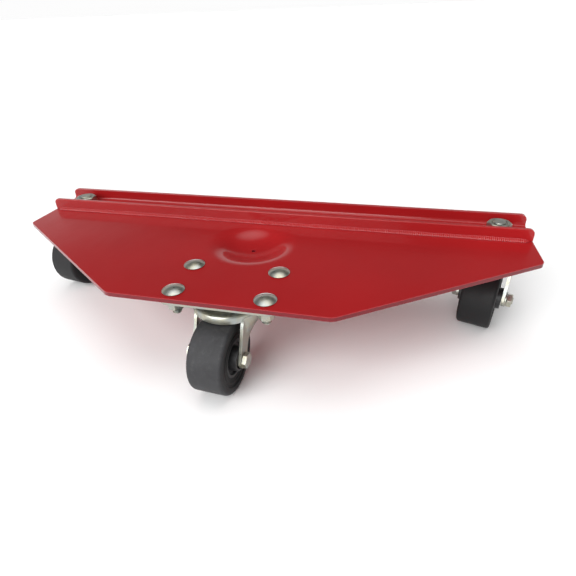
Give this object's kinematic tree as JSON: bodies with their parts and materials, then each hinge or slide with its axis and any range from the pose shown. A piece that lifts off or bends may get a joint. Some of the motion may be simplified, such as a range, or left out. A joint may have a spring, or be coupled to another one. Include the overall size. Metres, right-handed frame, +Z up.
{
  "type": "wheel dolly",
  "caption": "Low steel wheel dolly: painted plate deck with a pressed dish and a rear track between rail and lip, on swivel casters bolted and stem-mounted below.",
  "frame": {"origin": "on the floor under the middle of the object's box, midway across the dolly and midway between its foremost wheel and its rearmost fork", "axes": "+X along the track, towards the right end; +Y towards the track; +Z up, away from the floor"},
  "size_m": [0.614, 0.2713, 0.1176],
  "materials": {
    "red_powder_coat": "glossy red powder coat on steel plate",
    "zinc_plate": "bright zinc plating on steel",
    "bearing_steel": "oiled bare steel",
    "rubber_tyre": "dark grey moulded rubber, satin",
    "black_core": "black moulded plastic, satin"
  },
  "bodies": {
    "deck": {"deck_plate": "red_powder_coat", "track_rail": "red_powder_coat", "rail_weld": "red_powder_coat", "carriage_bolt_front_left": "zinc_plate", "carriage_bolt_front_right": "zinc_plate", "carriage_bolt_rear_left": "zinc_plate", "carriage_bolt_rear_right": "zinc_plate", "bolt_washer_front_left": "zinc_plate", "bolt_washer_front_right": "zinc_plate", "bolt_washer_rear_left": "zinc_plate", "bolt_washer_rear_right": "zinc_plate", "bolt_nut_front_left": "zinc_plate", "bolt_nut_front_right": "zinc_plate", "bolt_nut_rear_left": "zinc_plate", "bolt_nut_rear_right": "zinc_plate", "front_mount_plate": "zinc_plate", "front_kingpin": "bearing_steel", "front_lower_race": "bearing_steel", "left_head_plate": "zinc_plate", "left_stem": "zinc_plate", "left_stem_washer": "zinc_plate", "left_stem_nut": "zinc_plate", "left_lower_race": "bearing_steel", "right_head_plate": "zinc_plate", "right_stem": "zinc_plate", "right_stem_washer": "zinc_plate", "right_stem_nut": "zinc_plate", "right_lower_race": "bearing_steel"},
    "front_swivel": {"front_fork": "zinc_plate", "front_upper_balls": "bearing_steel", "front_lower_balls": "bearing_steel", "front_axle_bolt": "zinc_plate", "front_axle_nut": "zinc_plate", "front_axle_washer": "zinc_plate", "front_axle_sleeve": "bearing_steel"},
    "front_wheel": {"front_tyre": "rubber_tyre", "front_wheel_core": "black_core", "front_roller_bearing": "bearing_steel"},
    "left_swivel": {"left_fork": "zinc_plate", "left_upper_balls": "bearing_steel", "left_lower_balls": "bearing_steel", "left_axle_bolt": "zinc_plate", "left_axle_nut": "zinc_plate", "left_axle_washer": "zinc_plate", "left_axle_sleeve": "bearing_steel"},
    "left_wheel": {"left_tyre": "rubber_tyre", "left_wheel_core": "black_core", "left_roller_bearing": "bearing_steel"},
    "right_swivel": {"right_fork": "zinc_plate", "right_upper_balls": "bearing_steel", "right_lower_balls": "bearing_steel", "right_axle_bolt": "zinc_plate", "right_axle_nut": "zinc_plate", "right_axle_washer": "zinc_plate", "right_axle_sleeve": "bearing_steel"},
    "right_wheel": {"right_tyre": "rubber_tyre", "right_wheel_core": "black_core", "right_roller_bearing": "bearing_steel"}
  },
  "joints": [
    {"name": "front_swivel_turn", "type": "hinge", "parent": "deck", "child": "front_swivel", "pos_m": [0, -0.0618, 0.085], "axis": [0, 0, 1], "continuous": true},
    {"name": "front_wheel_spin", "type": "hinge", "parent": "front_swivel", "child": "front_wheel", "pos_m": [-0.00244, -0.09671, 0.0375], "axis": [0.9976, -0.0698, 0], "continuous": true},
    {"name": "left_swivel_turn", "type": "hinge", "parent": "deck", "child": "left_swivel", "pos_m": [-0.27, 0.1, 0.085], "axis": [0, 0, 1], "continuous": true},
    {"name": "left_wheel_spin", "type": "hinge", "parent": "left_swivel", "child": "left_wheel", "pos_m": [-0.27548, 0.06543, 0.0375], "axis": [0.9877, -0.1564, 0], "continuous": true},
    {"name": "right_swivel_turn", "type": "hinge", "parent": "deck", "child": "right_swivel", "pos_m": [0.27, 0.1, 0.085], "axis": [0, 0, 1], "continuous": true},
    {"name": "right_wheel_spin", "type": "hinge", "parent": "right_swivel", "child": "right_wheel", "pos_m": [0.26006, 0.06644, 0.0375], "axis": [0.9588, -0.284, 0], "continuous": true}
  ]
}
